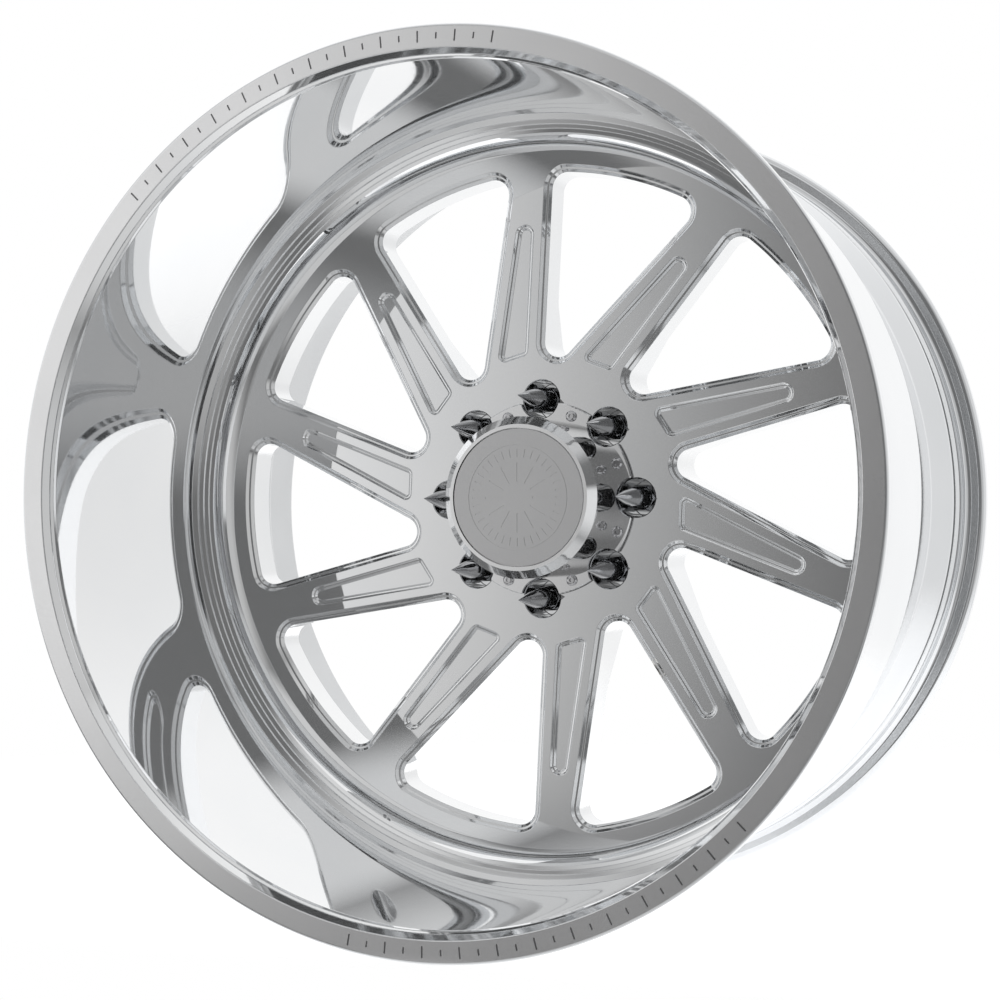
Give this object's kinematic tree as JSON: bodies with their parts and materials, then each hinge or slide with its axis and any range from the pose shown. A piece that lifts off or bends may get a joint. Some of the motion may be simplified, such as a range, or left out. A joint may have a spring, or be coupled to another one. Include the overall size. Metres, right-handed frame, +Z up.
{
  "type": "forged road wheel rim",
  "caption": "Polished deep-lip forged wheel with swept spokes, spiked lug nuts, a bolted centre cap and a tyre valve.",
  "frame": {"origin": "on the wheel axis, half way across the rim's overall width", "axes": "+Y along the wheel axis towards the vehicle, -Y to the street side, +Z up when standing, +X to the right seen from the street"},
  "size_m": [0.6949, 0.436, 0.695],
  "materials": {
    "polished_rim": "mirror polished, very fine turning lines",
    "polished_centre": "mirror polished",
    "weld_bead": "as welded, brushed",
    "dark_chrome": "dark smoked chrome on steel",
    "polished_cap": "mirror polished",
    "satin_badge": "fine satin with shallow engraved lines",
    "screw_steel": "polished stainless button heads",
    "black_rubber": "matt moulded rubber",
    "valve_plated": "bright nickel plate",
    "valve_brass": "machined brass"
  },
  "bodies": {
    "wheel": {"rim_barrel": "polished_rim", "wheel_centre": "polished_centre", "centre_weld": "weld_bead", "valve_stem": "valve_plated", "valve_grommet": "black_rubber", "valve_washer": "valve_plated", "valve_nut": "valve_plated", "valve_core": "valve_brass"},
    "centre_cap": {"cap_base": "polished_cap", "cap_gasket": "black_rubber", "cap_turret": "polished_cap", "cap_oring": "black_rubber", "cap_badge": "satin_badge", "cap_screws": "screw_steel", "turret_screws": "screw_steel", "badge_screws": "screw_steel"},
    "nut_1": {"lug_nut_1": "dark_chrome"},
    "nut_2": {"lug_nut_2": "dark_chrome"},
    "nut_3": {"lug_nut_3": "dark_chrome"},
    "nut_4": {"lug_nut_4": "dark_chrome"},
    "nut_5": {"lug_nut_5": "dark_chrome"},
    "nut_6": {"lug_nut_6": "dark_chrome"},
    "nut_7": {"lug_nut_7": "dark_chrome"},
    "nut_8": {"lug_nut_8": "dark_chrome"},
    "core_pin": {"valve_pin": "valve_brass"},
    "dust_cap": {"valve_cap": "valve_plated"}
  },
  "joints": [
    {"name": "cap_removal", "type": "slide", "parent": "wheel", "child": "centre_cap", "axis": [0, -1, 0], "range_m": [0, 0.12]},
    {"name": "nut_1_run_off", "type": "slide", "parent": "wheel", "child": "nut_1", "axis": [0, -1, 0], "range_m": [0, 0.031]},
    {"name": "nut_2_run_off", "type": "slide", "parent": "wheel", "child": "nut_2", "axis": [0, -1, 0], "range_m": [0, 0.031]},
    {"name": "nut_3_run_off", "type": "slide", "parent": "wheel", "child": "nut_3", "axis": [0, -1, 0], "range_m": [0, 0.031]},
    {"name": "nut_4_run_off", "type": "slide", "parent": "wheel", "child": "nut_4", "axis": [0, -1, 0], "range_m": [0, 0.031]},
    {"name": "nut_5_run_off", "type": "slide", "parent": "wheel", "child": "nut_5", "axis": [0, -1, 0], "range_m": [0, 0.031]},
    {"name": "nut_6_run_off", "type": "slide", "parent": "wheel", "child": "nut_6", "axis": [0, -1, 0], "range_m": [0, 0.031]},
    {"name": "nut_7_run_off", "type": "slide", "parent": "wheel", "child": "nut_7", "axis": [0, -1, 0], "range_m": [0, 0.031]},
    {"name": "nut_8_run_off", "type": "slide", "parent": "wheel", "child": "nut_8", "axis": [0, -1, 0], "range_m": [0, 0.031]},
    {"name": "core_pin_press", "type": "slide", "parent": "wheel", "child": "core_pin", "axis": [0.4695, 0, -0.8829], "range_m": [0, 0.002], "stiffness_N_per_m": 1500},
    {"name": "dust_cap_removal", "type": "slide", "parent": "wheel", "child": "dust_cap", "axis": [-0.4695, 0, 0.8829], "range_m": [0, 0.012]}
  ]
}
